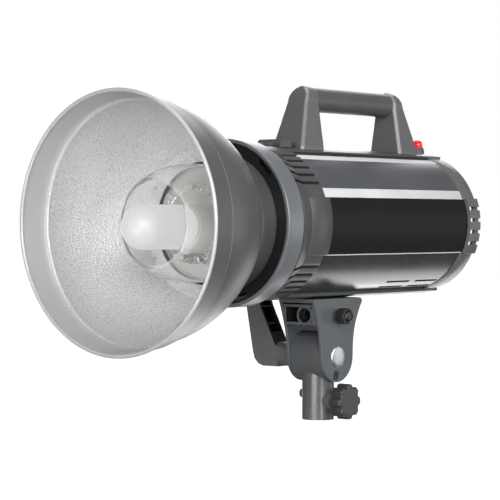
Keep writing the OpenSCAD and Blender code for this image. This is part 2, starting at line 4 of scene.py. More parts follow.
import bmesh
import bpy
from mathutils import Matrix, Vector


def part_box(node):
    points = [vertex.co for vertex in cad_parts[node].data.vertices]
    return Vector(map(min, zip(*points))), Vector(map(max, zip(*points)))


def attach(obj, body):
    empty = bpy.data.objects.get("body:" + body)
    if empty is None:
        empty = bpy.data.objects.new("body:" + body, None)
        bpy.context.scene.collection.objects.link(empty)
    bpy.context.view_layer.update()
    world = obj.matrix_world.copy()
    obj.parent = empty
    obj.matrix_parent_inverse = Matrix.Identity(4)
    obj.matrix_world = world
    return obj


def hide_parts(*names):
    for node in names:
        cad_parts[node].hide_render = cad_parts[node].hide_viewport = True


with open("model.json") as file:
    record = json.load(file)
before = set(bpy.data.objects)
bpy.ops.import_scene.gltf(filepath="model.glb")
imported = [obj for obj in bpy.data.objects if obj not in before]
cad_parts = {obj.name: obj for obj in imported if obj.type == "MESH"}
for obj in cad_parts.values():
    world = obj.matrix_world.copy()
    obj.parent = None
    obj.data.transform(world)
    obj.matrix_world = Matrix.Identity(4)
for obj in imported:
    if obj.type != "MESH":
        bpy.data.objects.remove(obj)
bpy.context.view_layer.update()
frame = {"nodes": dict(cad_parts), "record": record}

RECORD = frame["record"]
MM = 0.001

BODY_OF = {node: body for body, nodes in RECORD["behaviour"]["bodies"].items() for node in nodes}
PIVOT = next(joint["pos_m"] for joint in RECORD["behaviour"]["joints"] if joint["name"] == "head_tilt")


def middle(node):
    """Centre of a CAD node's box, in metres."""
    low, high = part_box(node)
    return (low + high) / 2


RIM_LOW, RIM_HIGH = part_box("reflector_dish")
RIM_Y = RIM_LOW.y
AXIS_Z = (RIM_LOW.z + RIM_HIGH.z) / 2
RIM_R = (RIM_HIGH.z - RIM_LOW.z) / 2 / MM
HOUSING_LOW, HOUSING_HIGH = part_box("housing")
SKIN_R = (HOUSING_HIGH.x - HOUSING_LOW.x) / 2 / MM


def station(y):
    """Distance behind the reflector's rim, in millimetres, of a row position y."""
    return (y - RIM_Y) / MM


def around(r, s, angle, z=0.0, x=0.0):
    """Row position at radius r, station s and angle degrees up from +X, about the axis moved by x and z."""
    a = math.radians(angle)
    return Vector((x * MM + r * MM * math.cos(a), RIM_Y + s * MM, AXIS_Z + z * MM + r * MM * math.sin(a)))


# ---------------------------------------------------------------- camera

CAMERA_AT = Vector((1.0318, -1.3440, 0.1724))
CAMERA_AZIMUTH = math.radians(39.54)
CAMERA_PITCH = math.radians(-0.81)

camera_data = bpy.data.cameras.new("camera")
camera_data.lens = 138.8
camera_data.sensor_width = 36.0
camera_data.clip_start = 0.05
camera_data.clip_end = 200.0
camera = bpy.data.objects.new("camera", camera_data)
camera.location = CAMERA_AT
camera.rotation_euler = (math.pi / 2 + CAMERA_PITCH, 0.0, CAMERA_AZIMUTH)
bpy.context.scene.collection.objects.link(camera)
bpy.context.scene.camera = camera
bpy.context.scene.view_settings.view_transform = "Standard"


# ---------------------------------------------------------------- materials

def grey(value):
    """Linear colour of an sRGB grey from 0 to 255, or of an sRGB triple."""
    triple = value if isinstance(value, tuple) else (value, value, value)
    linear = [((c / 255 + 0.055) / 1.055) ** 2.4 if c > 10 else c / 255 / 12.92 for c in triple]
    return (*linear, 1.0)


class Graph:
    """A material's node tree, with short calls for the nodes used here."""

    def __init__(self, name):
        self.material = bpy.data.materials.new(name)
        self.material.use_nodes = True
        self.tree = self.material.node_tree
        self.shader = self.tree.nodes["Principled BSDF"]
        self.coords = self.tree.nodes.new("ShaderNodeTexCoord").outputs["Object"]

    def link(self, source, target):
        self.tree.links.new(source, target)

    def noise(self, scale, detail=3.0, roughness=0.55, stretch=None):
        node = self.tree.nodes.new("ShaderNodeTexNoise")
        node.inputs["Scale"].default_value = scale
        node.inputs["Detail"].default_value = detail
        node.inputs["Roughness"].default_value = roughness
        source = self.coords
        if stretch:
            mapping = self.tree.nodes.new("ShaderNodeMapping")
            mapping.inputs["Scale"].default_value = stretch
            self.link(self.coords, mapping.inputs["Vector"])
            source = mapping.outputs["Vector"]
        self.link(source, node.inputs["Vector"])
        return node.outputs["Fac"]

    def cells(self, scale):
        node = self.tree.nodes.new("ShaderNodeTexVoronoi")
        node.inputs["Scale"].default_value = scale
        self.link(self.coords, node.inputs["Vector"])
        return node.outputs["Distance"]

    def remap(self, source, low, high, from_low=0.0, from_high=1.0):
        node = self.tree.nodes.new("ShaderNodeMapRange")
        node.inputs["From Min"].default_value = from_low
        node.inputs["From Max"].default_value = from_high
        node.inputs["To Min"].default_value = low
        node.inputs["To Max"].default_value = high
        self.link(source, node.inputs["Value"])
        return node.outputs["Result"]

    def math(self, operation, a, b):
        node = self.tree.nodes.new("ShaderNodeMath")
        node.operation = operation
        for socket, value in zip(node.inputs, (a, b)):
            if isinstance(value, (int, float)):
                socket.default_value = value
            else:
                self.link(value, socket)
        return node.outputs["Value"]

    def mix(self, factor, a, b):
        node = self.tree.nodes.new("ShaderNodeMix")
        node.data_type = "RGBA"
        node.inputs["A"].default_value = a
        node.inputs["B"].default_value = b
        self.link(factor, node.inputs["Factor"])
        return node.outputs["Result"]

    def colour(self, factor, a, b, low=0.35, high=0.65):
        self.link(self.mix(self.remap(factor, 0.0, 1.0, low, high), a, b), self.shader.inputs["Base Color"])

    def rough(self, factor, low, high):
        self.link(self.remap(factor, low, high, 0.3, 0.7), self.shader.inputs["Roughness"])

    def bump(self, height, distance_mm, strength=1.0, after=None):
        node = self.tree.nodes.new("ShaderNodeBump")
        node.inputs["Strength"].default_value = strength
        node.inputs["Distance"].default_value = distance_mm * MM
        self.link(height, node.inputs["Height"])
        if after is not None:
            self.link(after, node.inputs["Normal"])
        self.link(node.outputs["Normal"], self.shader.inputs["Normal"])
        return node.outputs["Normal"]

    def set(self, **values):
        for name, value in values.items():
            self.shader.inputs[name.replace("_", " ")].default_value = value
        return self


def moulded(name, dark, light, rough, grain_mm=0.6, depth_mm=0.012, metallic=0.0, spread=0.06, coat=0.0,
            drift_mm=0.006):
    """Plastic or paint: slow drift of tone, fine moulded grain in bump and roughness."""
    g = Graph(name)
    drift = g.noise(22.0, 4.0)
    grain = g.noise(1 / (grain_mm * MM), 2.0)
    g.colour(drift, dark, light)
    g.rough(g.math("ADD", g.math("MULTIPLY", drift, 0.6), g.math("MULTIPLY", grain, 0.4)), rough - spread,
            rough + spread)
    first = g.bump(grain, depth_mm)
    g.bump(g.noise(160.0, 2.0), drift_mm, 0.5, first)
    g.set(Metallic=metallic)
    if coat:
        g.set(Coat_Weight=coat, Coat_Roughness=0.12)
    return g.material


def metal(name, dark, light, rough, stretch=(1.0, 1.0, 1.0), scale=900.0, depth_mm=0.004, spread=0.05,
          metallic=1.0):
    """Bare or brushed metal: streaks along the stretched direction."""
    g = Graph(name)
    streak = g.noise(scale, 3.0, 0.6, stretch)
    drift = g.noise(18.0, 3.0)
    g.colour(g.math("ADD", g.math("MULTIPLY", streak, 0.5), g.math("MULTIPLY", drift, 0.5)), dark, light)
    g.rough(streak, rough - spread, rough + spread)
    g.bump(streak, depth_mm)
    g.set(Metallic=metallic)
    return g.material


def pebbled(name):
    """The dish's inside: bright sheet with small hammered pebbles, its colour speckled with painted glints.
    """
    g = Graph(name)
    pebble = g.cells(720.0)
    speck_and_painted_glint = g.noise(820.0, 2.0, 0.7)
    drift = g.noise(14.0, 3.0)
    # The speck noise varies the colour as painted glints, and varies roughness and bump as real grain.
    g.colour(g.math("ADD", g.math("MULTIPLY", speck_and_painted_glint, 0.85), g.math("MULTIPLY", drift, 0.15)), grey(190),
             grey(222), 0.38, 0.62)
    g.rough(speck_and_painted_glint, 0.26, 0.42)
    first = g.bump(pebble, 0.4, 0.9)
    g.bump(speck_and_painted_glint, 0.15, 0.8, first)
    g.set(Metallic=0.5)
    return g.material


def hammered(name, dark, light, rough=0.42):
    """Powder coat on the bracket: soft small lumps."""
    g = Graph(name)
    lump = g.noise(900.0, 2.0, 0.5)
    drift = g.noise(25.0, 3.0)
    g.colour(drift, dark, light)
    g.rough(lump, rough - 0.04, rough + 0.06)
    g.bump(lump, 0.03, 0.8)
    return g.material


def clear(name, tint, rough=0.0, ior=1.47, milk=0.0):
    """Clear glass with faint draw lines."""
    g = Graph(name)
    wave = g.noise(60.0, 2.0)
    g.rough(wave, rough, rough + 0.02)
    g.colour(wave, tint, grey(255))
    g.bump(wave, 0.02, 0.25)
    g.set(Transmission_Weight=1.0 - milk, IOR=ior)
    return g.material


def opal(name):
    g = Graph(name)
    haze = g.noise(30.0, 3.0)
    g.colour(haze, grey((132, 134, 134)), grey((138, 140, 140)))
    g.rough(haze, 0.36, 0.44)
    g.bump(g.noise(500.0, 2.0), 0.004, 0.5)
    g.set(Subsurface_Weight=0.35, Subsurface_Scale=0.01, Coat_Weight=0.04, Coat_Roughness=0.1)
    g.set(Emission_Color=grey(255), Emission_Strength=0.44)
    return g.material


def lens(name):
    g = Graph(name)
    haze = g.noise(300.0, 2.0)
    g.colour(haze, grey((222, 8, 10)), grey((255, 22, 20)))
    g.rough(haze, 0.08, 0.14)
    g.bump(haze, 0.01, 0.4)
    g.set(Coat_Weight=0.6, Coat_Roughness=0.04, Emission_Color=grey((255, 12, 10)), Emission_Strength=0.35)
    return g.material


GREY_PLASTIC = moulded("grey_plastic", grey(66), grey(74), 0.4, 0.5, 0.012)
GREY_HANDLE = moulded("grey_handle", grey(87), grey(94), 0.36, 0.45, 0.01)
# Lighter grey for a painted highlight on the handle's front chamfers.
HANDLE_PAINTED_HIGHLIGHT = moulded("handle_painted_highlight", grey(112), grey(122), 0.3, 0.4, 0.006)
GREY_CAP = moulded("grey_cap", grey(84), grey(92), 0.38, 0.5, 0.01)
# Near-black used as painted shade in grooves, pockets and vent cutters.
PAINTED_SHADE = moulded("painted_recess_shade", grey(12), grey(18), 0.6, 0.6, 0.01)
RING_GREY = moulded("ring_grey", grey((104, 107, 110)), grey((112, 115, 118)), 0.34, 0.4, 0.006, 0.15)
SKIN_GREY = moulded("skin_grey", grey(50), grey(57), 0.28, 0.5, 0.002, 0.3, 0.03, drift_mm=0.0015)
LABEL_GREY = moulded("label_grey", grey((80, 81, 85)), grey((87, 88, 92)), 0.36, 0.3, 0.002, 0.2,
                     drift_mm=0.002)
PANEL_BLACK = moulded("panel_black", grey(17), grey(22), 0.48, 0.8, 0.004, 0.0, 0.05)
PANEL_BLACK.node_tree.nodes["Principled BSDF"].inputs["Specular IOR Level"].default_value = 0.2
SILVER_PAINT = moulded("silver_paint", grey((186, 188, 191)), grey((197, 199, 202)), 0.55, 0.25, 0.006, 0.0)
BAYONET_BLACK = moulded("bayonet_black", grey(22), grey(28), 0.4, 0.4, 0.008)
COLLAR_BLACK = moulded("collar_black", grey(68), grey(76), 0.34, 0.4, 0.008)
BLACK_PLASTIC = moulded("black_plastic", grey(34), grey(41), 0.4, 0.5, 0.012)
KNURL_BLACK = moulded("knurl_black", grey(26), grey(33), 0.34, 0.5, 0.008)
KNOB_BLACK = moulded("knob_black", grey(46), grey(54), 0.34, 0.5, 0.01)
RUBBER = moulded("grip_rubber", grey(73), grey(82), 0.44, 0.9, 0.03, 0.0, 0.1)
BRACKET_GREY = hammered("bracket_grey", grey((72, 77, 81)), grey((81, 86, 90)))
ADAPTER_GREY = moulded("adapter_grey", grey((90, 91, 93)), grey((98, 99, 101)), 0.26, 0.5, 0.003, 0.35,
                       drift_mm=0.003)
LEVER_GREY = moulded("lever_grey", grey(84), grey(91), 0.38, 0.5, 0.012)
DISH_OUTSIDE = metal("dish_outside", grey(96), grey(106), 0.42, (1.0, 6.0, 1.0), 500.0, 0.003, 0.03, 0.5)
DISH_LIP = metal("dish_lip", grey(170), grey(180), 0.42, (1.0, 5.0, 1.0), 700.0, 0.002, 0.03, 0.2)
DISH_BEAD = metal("dish_bead", grey(176), grey(186), 0.4, (1.0, 1.0, 1.0), 500.0, 0.0005, 0.02, 0.25)
DISH_INSIDE = pebbled("dish_inside")
STEEL = metal("bright_steel", grey(190), grey(205), 0.24, (1.0, 1.0, 1.0), 1500.0)
CHROME = metal("chrome", grey(206), grey(220), 0.38, (1.0, 1.0, 1.0), 1200.0, 0.004, 0.04)
SCREW_STEEL = metal("screw_steel", grey(66), grey(78), 0.34, (1.0, 1.0, 1.0), 1500.0)
ALUMINIUM = metal("mill_aluminium", grey(176), grey(190), 0.32, (1.0, 8.0, 1.0), 400.0)
COPPER = metal("winding", grey((150, 88, 40)), grey((176, 108, 54)), 0.35, (1.0, 30.0, 1.0), 300.0, 0.1)
CLEAR_GLASS = clear("clear_glass", grey((250, 252, 251)), 0.0, 1.1, 0.1)
QUARTZ = clear("quartz_glass", grey((244, 247, 248)))
OPAL = opal("opal_glass")
RED_LENS = lens("red_lens")
CERAMIC = moulded("ceramic_white", grey((184, 182, 177)), grey((197, 195, 190)), 0.55, 0.8, 0.01)
BOARD = moulded("circuit_board", grey((22, 84, 50)), grey((30, 98, 60)), 0.4, 2.0, 0.02)
SLEEVE = moulded("capacitor_sleeve", grey((26, 32, 62)), grey((34, 40, 74)), 0.3, 1.5, 0.01)
DISPLAY = moulded("display_glass", grey((16, 24, 26)), grey((22, 32, 34)), 0.08, 1.0, 0.001, 0.0, 0.02, 0.5)
BUTTON_GREY = moulded("button_grey", grey(168), grey(178), 0.4, 0.5, 0.01)


# ---------------------------------------------------------------- mesh builders

def make(name, points, faces, materials, slots=None, sharp=32.0):
    """A smooth-shaded object from points in metres, its normals facing out and its hard edges kept."""
    mesh = bpy.data.meshes.new(name)
    mesh.from_pydata([tuple(p) for p in points], [], faces)
    for material in materials if isinstance(materials, (list, tuple)) else [materials]:
        mesh.materials.append(material)
    if slots:
        mesh.polygons.foreach_set("material_index", slots)
    bm = bmesh.new()
    bm.from_mesh(mesh)
    bmesh.ops.remove_doubles(bm, verts=bm.verts, dist=1e-7)
    bmesh.ops.recalc_face_normals(bm, faces=bm.faces)
    bm.to_mesh(mesh)
    bm.free()
    return settle(name, mesh, sharp)


def settle(name, mesh, sharp=32.0):
    mesh.polygons.foreach_set("use_smooth", [True] * len(mesh.polygons))
    mesh.set_sharp_from_angle(angle=math.radians(sharp))
    obj = bpy.data.objects.new(name, mesh)
    bpy.context.scene.collection.objects.link(obj)
    return obj


def stands_for(obj, node):
    """obj rides with the node's body and is shown in its place."""
    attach(obj, BODY_OF[node])
    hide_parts(node)
    return obj


def added(obj, node):
    """A further piece on the same body as a node, which is shown too."""
    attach(obj, BODY_OF[node])
    return obj


BEVEL_ANGLE = math.radians(38.0)


def bevel(obj, width_mm, segments=3):
    modifier = obj.modifiers.new("edges", "BEVEL")
    modifier.width = width_mm * MM
    modifier.segments = segments
    modifier.limit_method = "ANGLE"
    modifier.angle_limit = BEVEL_ANGLE
    modifier.harden_normals = True
    modifier.use_clamp_overlap = True
    return obj


def fillet(points, sizes, steps=4, closed=True):
    """The outline with each corner rounded by its size, in the outline's own unit."""
    out = []
    count = len(points)
    for i, point in enumerate(points):
        size = sizes[i] if isinstance(sizes, (list, tuple)) else sizes
        if size <= 0 or (not closed and i in (0, count - 1)):
            out.append(tuple(point))
            continue
        here = Vector(point)
        before = Vector(points[i - 1]) - here
        after = Vector(points[(i + 1) % count]) - here
        start = here + before.normalized() * min(size, before.length * 0.48)
        end = here + after.normalized() * min(size, after.length * 0.48)
        for k in range(steps + 1):
            t = k / steps
            out.append(tuple(start * (1 - t) ** 2 + here * 2 * t * (1 - t) + end * t * t))
    return out


def lathe(name, profile, materials, segments=192, closed=True, x=0.0, z=0.0, slots=None, wobble=None,
          sharp=32.0):
    """Turns a profile of (radius, station) about the light's axis moved by x and z."""
    points = []
    for r, s in profile:
        for j in range(segments):
            angle = 360.0 * j / segments
            points.append(around(r + (wobble(angle, s) if wobble else 0.0), s, angle, z, x))
    faces, indices = [], []
    rows = len(profile)
    for i in range(rows if closed else rows - 1):
        for j in range(segments):
            k = (j + 1) % segments
            faces.append((i * segments + j, i * segments + k, ((i + 1) % rows) * segments + k,
                          ((i + 1) % rows) * segments + j))
            indices.append(slots[i] if slots else 0)
    return make(name, points, faces, materials, indices, sharp)


def prism(name, outline, low, high, plane, material, edge=0.0):
    """Extrudes an outline in mm: "xz" about the axis between stations, "yz" about the pivot between x."""
    points = []
    for level in (low, high):
        for a, b in outline:
            if plane == "xz":
                points.append((a * MM, RIM_Y + level * MM, AXIS_Z + b * MM))
            else:
                points.append((level * MM, PIVOT[1] + a * MM, PIVOT[2] + b * MM))
    count = len(outline)
    faces = [tuple(range(count)), tuple(range(2 * count - 1, count - 1, -1))]
    faces += [(i, (i + 1) % count, count + (i + 1) % count, count + i) for i in range(count)]
    obj = make(name, points, faces, material)
    return bevel(obj, edge) if edge else obj


def loft(name, rings, materials, slots=None, sharp=32.0):
    """Skins closed rings of equal counts, and closes both ends."""
    count = len(rings[0])
    points = [p for ring in rings for p in ring]
    faces, indices = [], []
    for i in range(len(rings) - 1):
        for j in range(count):
            k = (j + 1) % count
            faces.append((i * count + j, i * count + k, (i + 1) * count + k, (i + 1) * count + j))
            indices.append(slots[j] if slots else 0)
    faces += [tuple(range(count)), tuple(range(len(points) - 1, len(points) - count - 1, -1))]
    indices += [0, 0]
    return make(name, points, faces, materials, indices, sharp)


def arc(r, a0, a1, steps):
    return [(r * math.cos(math.radians(a)), r * math.sin(math.radians(a))) for a in
            [a0 + (a1 - a0) * i / steps for i in range(steps + 1)]]


def band(name, r0, r1, a0, a1, s0, s1, material, edge=0.3):
    """A curved panel on the housing."""
    steps = max(6, int(abs(a1 - a0)))
    outline = arc(r1, a0, a1, steps) + arc(r0, a1, a0, steps)
    return prism(name, outline, s0, s1, "xz", material, edge)


def joined(name, objects):
    """One object from several, with each one's modifiers applied."""
    graph = bpy.context.evaluated_depsgraph_get()
    bm = bmesh.new()
    materials = []
    for obj in objects:
        mesh = bpy.data.meshes.new_from_object(obj.evaluated_get(graph))
        offset = len(materials)
        materials += list(mesh.materials)
        first = len(bm.faces)
        bm.from_mesh(mesh)
        bm.faces.ensure_lookup_table()
        for face in bm.faces[first:]:
            face.material_index += offset
    mesh = bpy.data.meshes.new(name)
    bm.to_mesh(mesh)
    bm.free()
    for material in materials:
        mesh.materials.append(material)
    for obj in objects:
        bpy.data.objects.remove(obj)
    return settle(name, mesh)


def carve(obj, *cutters):
    """Takes the cutters out of obj."""
    name = obj.name
    for cutter in cutters:
        modifier = obj.modifiers.new("cut", "BOOLEAN")
        modifier.operation = "DIFFERENCE"
        modifier.solver = "EXACT"
        modifier.object = cutter
    graph = bpy.context.evaluated_depsgraph_get()
    mesh = bpy.data.meshes.new_from_object(obj.evaluated_get(graph))
    for old in (obj, *cutters):
        bpy.data.objects.remove(old)
    return settle(name, mesh)


def refined(node, material, edge, segments=2):
    """The CAD node's own shape, welded, cleaned and given soft edges."""
    source = frame["nodes"][node]
    bm = bmesh.new()
    bm.from_mesh(source.data)
    bmesh.ops.remove_doubles(bm, verts=bm.verts, dist=2e-6)
    bmesh.ops.dissolve_degenerate(bm, dist=1e-6, edges=bm.edges)
    bmesh.ops.dissolve_limit(bm, angle_limit=math.radians(0.4), verts=bm.verts, edges=bm.edges)
    for face in bm.faces:
        face.material_index = 0
    mesh = bpy.data.meshes.new(node + "_look")
    bm.to_mesh(mesh)
    bm.free()
    mesh.materials.append(material)
    obj = bevel(settle(node + "_look", mesh), edge, segments)
    return stands_for(obj, node)


def paint_shade_in(obj, material, inside):
    """Gives material, here a painted shade, to the faces whose middle, in mm across, along and up from the
    axis, lies inside.
    """
    obj.data.materials.append(material)
    for face in obj.data.polygons:
        at = face.center
        if inside(at.x / MM, station(at.y), (at.z - AXIS_Z) / MM):
            face.material_index = len(obj.data.materials) - 1
    return obj


# ---------------------------------------------------------------- reflector

DISH_LOW_R = 63.6
LIP_R = 98.0
STEP_R = 99.3
STEP_S = 23.7
SHEET = 1.4
BACK_S = 105.0
BEAD = 1.6
DISH_WALL = 1.75
SHAFT_X = 6.3
SHAFT_Z = -79.8
ON_OUTSIDE, ON_LIP, ON_INSIDE, ON_BEAD = range(4)


def dish_wall(i, steps, inset):
    t = i / steps
    return (DISH_LOW_R + (LIP_R - DISH_LOW_R) * (1 - t * t) - inset,
            STEP_S + SHEET + (BACK_S - STEP_S - SHEET) * t)


def make_dish():
    steps = 60
    bead = [(RIM_R - BEAD + BEAD * math.cos(math.radians(a)), BEAD - BEAD * math.sin(math.radians(a)))
            for a in range(-60, 241, 12)]
    lip_out = [(RIM_R - 0.9 - (RIM_R - 0.9 - STEP_R - SHEET) * k / 8, 3.0 + (STEP_S - 3.0) * k / 8)
               for k in range(9)]
    shoulder = fillet([(STEP_R + SHEET, STEP_S), (STEP_R + SHEET, STEP_S + SHEET),
                       (LIP_R + 0.2, STEP_S + SHEET)], 0.5, 3, False)
    outside = [dish_wall(i, steps, 0.0) for i in range(1, steps + 1)]
    flange = fillet([(DISH_LOW_R, BACK_S + SHEET), (50.2, BACK_S + SHEET), (50.2, BACK_S)], 0.4, 3, False)
    inside = [dish_wall(i, steps, DISH_WALL) for i in range(steps, 0, -1)]
    step = [(LIP_R - 1.9, STEP_S + 0.5), (LIP_R - 1.5, STEP_S)]
    step_edge = fillet([(STEP_R - 1.0, STEP_S), (STEP_R, STEP_S), (STEP_R + 0.3, STEP_S - 1.5)], 0.4, 3,
                       False)
    lip_in = [(STEP_R + 0.3 + (RIM_R - 2.4 - STEP_R - 0.3) * k / 8, STEP_S - 1.5 - (STEP_S - 4.5) * k / 8)
              for k in range(1, 9)]
    profile, slots = [], []
    for part, slot in ((lip_out, ON_OUTSIDE), (shoulder, ON_OUTSIDE), (outside, ON_OUTSIDE),
                       (flange, ON_OUTSIDE), (inside, ON_INSIDE), (step, ON_INSIDE), (step_edge, ON_BEAD),
                       (lip_in, ON_LIP), (bead[::-1], ON_BEAD)):
        profile += part
        slots += [slot] * len(part)
        if part is flange:
            slots[-1] = ON_INSIDE
        if part is shoulder:
            slots[-5:-2] = [ON_BEAD] * 3
    dish = lathe("reflector_dish_look", profile, [DISH_OUTSIDE, DISH_LIP, DISH_INSIDE, DISH_BEAD], 256,
                 slots=slots, sharp=50)
    cutter = lathe("shaft_cutter", [(0.0, 55.0), (8.0, 55.0), (8.0, 100.0), (0.0, 100.0)], DISH_LIP, 64,
                   False, SHAFT_X, SHAFT_Z)
    dish = carve(dish, cutter)
    return stands_for(dish, "reflector_dish")


make_dish()
refined("reflector_collar", COLLAR_BLACK, 0.4, 3)
refined("reflector_rivets", STEEL, 0.25)


# ---------------------------------------------------------------- mount and collar

ring_outline = [(67.0, 131.3), (69.2, 131.3), (70.0, 132.1), (70.0, 150.6), (69.2, 151.4), (62.0, 151.4),
                (62.0, 137.2), (67.0, 137.2)]
ring_rounding = [0.3, 0.5, 0.6, 0.6, 0.5, 0.2, 0.2, 0.2]
stands_for(lathe("mount_ring_look", fillet(ring_outline, ring_rounding, 4), RING_GREY, 240), "mount_ring")
refined("bayonet_plate", BAYONET_BLACK, 0.35, 3)

GROOVES = [30.6 + 7.3 * i for i in range(5)] + [-33.6 - 7.3 * i for i in range(5)]
GROOVE_HALF = 1.2
COLLAR_FRONT = 152.6
COLLAR_REAR = 190.0
COLLAR_MOUTH_R = 69.4
COLLAR_TAPER = 13.4
COLLAR_R = 65.5
FLOOR_R = 63.9
COLLAR_IN = SKIN_R + 0.1

# Degrees from a groove's middle, and the share of its depth there.
GROOVE_SHAPE = ((-GROOVE_HALF - 0.28, 0.0), (-GROOVE_HALF - 0.08, 0.12), (-GROOVE_HALF + 0.05, 0.9),
                (-GROOVE_HALF + 0.25, 1.0), (0.0, 1.0), (GROOVE_HALF - 0.25, 1.0),
                (GROOVE_HALF - 0.05, 0.9), (GROOVE_HALF + 0.08, 0.12), (GROOVE_HALF + 0.28, 0.0))


def apart(a, b):
    """Degrees between two directions, the short way round."""
    return abs((a - b + 180) % 360 - 180)


def collar_surface(s):
    along = min(1.0, max(0.0, (s - COLLAR_FRONT) / COLLAR_TAPER))
    return COLLAR_MOUTH_R + (COLLAR_R - COLLAR_MOUTH_R) * along


def collar_floor(s):
    return FLOOR_R + max(0.0, 166.0 - s) / 16.0 * 4.0


def collar_angles():
    """Angles round the collar, close together at each groove's walls."""
    marks = {}
    for a in GROOVES + [180 - g for g in GROOVES]:
        a %= 360
        for offset, depth in GROOVE_SHAPE:
            marks[(a + offset) % 360] = depth
    fixed = sorted(marks)
    for k in range(180):
        angle = 2.0 * k
        near = min(fixed, key=lambda f: apart(angle, f))
        if apart(angle, near) > 0.6:
            inside = marks[near] > 0.5 and apart(angle, near) < GROOVE_HALF
            marks[angle] = 1.0 if inside else 0.0
    return sorted(marks.items())


def make_collar():
    stations = [COLLAR_FRONT, 152.9, 153.6, 155, 157, 159, 161, 163, 165, 165.7, 166.3, 168, 172, 178, 184,
                188, 189.5, 189.85, COLLAR_REAR]
    angles = collar_angles()
    rows = []
    for s in stations:
        edge = 0.35 if s in (COLLAR_FRONT, COLLAR_REAR) else (0.1 if s in (152.9, 189.85) else 0.0)
        crest = collar_surface(s) - edge
        rows.append([around(crest - depth * (crest - collar_floor(s)), s, angle) for angle, depth in angles])
    rows.append([around(COLLAR_IN, COLLAR_REAR, angle) for angle, _ in angles])
    rows.append([around(COLLAR_IN, COLLAR_FRONT, angle) for angle, _ in angles])
    count = len(rows[0])
    points = [p for row in rows for p in row]
    depths = [depth for _, depth in angles]
    faces, slots = [], []
    for i in range(len(rows)):
        for j in range(count):
            k, n = (j + 1) % count, (i + 1) % len(rows)
            faces.append((i * count + j, i * count + k, n * count + k, n * count + j))
            # Faces deep in the grooves take the near-black: painted shade in the grooves.
            slots.append(1 if i < len(stations) - 1 and max(depths[j], depths[k]) > 0.5 else 0)
    ribs = make("ribs", points, faces, [GREY_PLASTIC, PAINTED_SHADE], slots)
    slot_cutter = prism("slot_cutter", [(-3, 55), (3, 55), (3, 72), (-3, 72)], 164, 184, "xz", GREY_PLASTIC)
    ribs = carve(ribs, slot_cutter)
    pads = []
    for flip in (False, True):
        a0, a1 = (180 - 19, 180 + 24) if flip else (-24, 19)
        pads.append(band("pad", SKIN_R + 0.2, 66.3, a0, a1, 167.0, 194.6, GREY_PLASTIC, 0.5))
    return stands_for(joined("nose_collar_look", [ribs] + pads), "nose_collar")


make_collar()

# ---------------------------------------------------------------- housing

PANEL_END = station(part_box("side_panel_right")[1].y)
LABEL_END = station(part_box("label_panel_right")[1].y)
VENT_ANGLES = (-57.5, -66.5, -122.5, -113.5)
VENT_FRONTS = (317, 361)
VENT_LENGTH = 35
VENT_HALF = 1.45
SKIN_WALL = 1.5
BED_R = SKIN_R + 0.02


def vent(angle, front):
    """A cutter for one slot, square to the skin at its angle."""
    a = math.radians(angle)
    corners = [(r * math.cos(a) - t * math.sin(a), r * math.sin(a) + t * math.cos(a))
               for r, t in ((57, -VENT_HALF), (66, -VENT_HALF), (66, VENT_HALF), (57, VENT_HALF))]
    # The cutter carries the near-black painted-shade material.
    return prism("vent", corners, front, front + VENT_LENGTH, "xz", PAINTED_SHADE)


def make_housing():
    """The tubular skin with two rows of slots low on each side."""
    front, rear = station(HOUSING_LOW.y), station(HOUSING_HIGH.y)
    inner = SKIN_R - SKIN_WALL
    skin = lathe("housing_look", [(inner, front), (SKIN_R, front), (SKIN_R, rear), (inner, rear)], SKIN_GREY,
                 360)
    skin = carve(skin, *[vent(angle, s) for angle in VENT_ANGLES for s in VENT_FRONTS])
    return stands_for(skin, "housing")


make_housing()


def sided(side, a0, a1):
    """The same angles on the right side, or mirrored to the left."""
    return (a0, a1) if side == "right" else (180 - a1, 180 - a0)


strips = []
for side in ("right", "left"):
    label = band(f"label_panel_{side}_look", BED_R, SKIN_R + 0.8, *sided(side, 28.4, 59.6), 191, LABEL_END,
                 LABEL_GREY, 0.25)
    stands_for(label, f"label_panel_{side}")
    panel = band(f"side_panel_{side}_look", BED_R, SKIN_R + 1.1, *sided(side, -24.6, 19.8), 195, PANEL_END,
                 PANEL_BLACK, 0.4)
    stands_for(panel, f"side_panel_{side}")
    trim = band(f"edge_trim_{side}", BED_R, SKIN_R + 1.0, *sided(side, -25.6, -24.75), 195, LABEL_END,
                SILVER_PAINT, 0.15)
    added(trim, "silver_strips")
    for a0, a1 in ((60, 67), (20.2, 28)):
        strips.append(band("strip", BED_R, SKIN_R + 1.0, *sided(side, a0, a1), 191, LABEL_END, SILVER_PAINT,
                           0.25))
stands_for(joined("silver_strips_look", strips), "silver_strips")
refined("top_rail", GREY_PLASTIC, 0.35, 3)
refined("bottom_rail", GREY_PLASTIC, 0.35, 3)
refined("rear_cap", GREY_CAP, 0.5, 3)
refined("rear_panel", BLACK_PLASTIC, 0.2)
refined("display_window", DISPLAY, 0.3)
refined("mains_inlet", BLACK_PLASTIC, 0.3)
refined("sync_jack", STEEL, 0.3)
refined("dome_base", GREY_PLASTIC, 0.4, 3)


def make_dome():
    """Smooth red dome, turned about the vertical through its seat."""
    low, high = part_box("sensor_dome")
    centre, radius, top = middle("sensor_dome"), (high.x - low.x) / 2, high.z
    waist = top - radius
    layers = [(low.z, radius * 0.99), (low.z + 0.1 * MM, radius), (waist, radius)]
    layers += [(waist + radius * math.sin(math.radians(a)), radius * math.cos(math.radians(a)))
               for a in range(8, 89, 8)]
    rings = [[Vector((centre.x + r * math.cos(t), centre.y + r * math.sin(t), z)) for t in
              [2 * math.pi * j / 48 for j in range(48)]] for z, r in layers]
    return stands_for(loft("sensor_dome_look", rings, RED_LENS, sharp=60), "sensor_dome")


make_dome()

# ---------------------------------------------------------------- handle

GRIP_Z = 107.7
RAIL_R = 65.52
FOOT_Z = 65.5
FOOT_HALF = 17.5
NECK_HALF = 11.3
NECK_Z = GRIP_Z - 2
EYE_R = 11.5
CHAMFER = 2.4


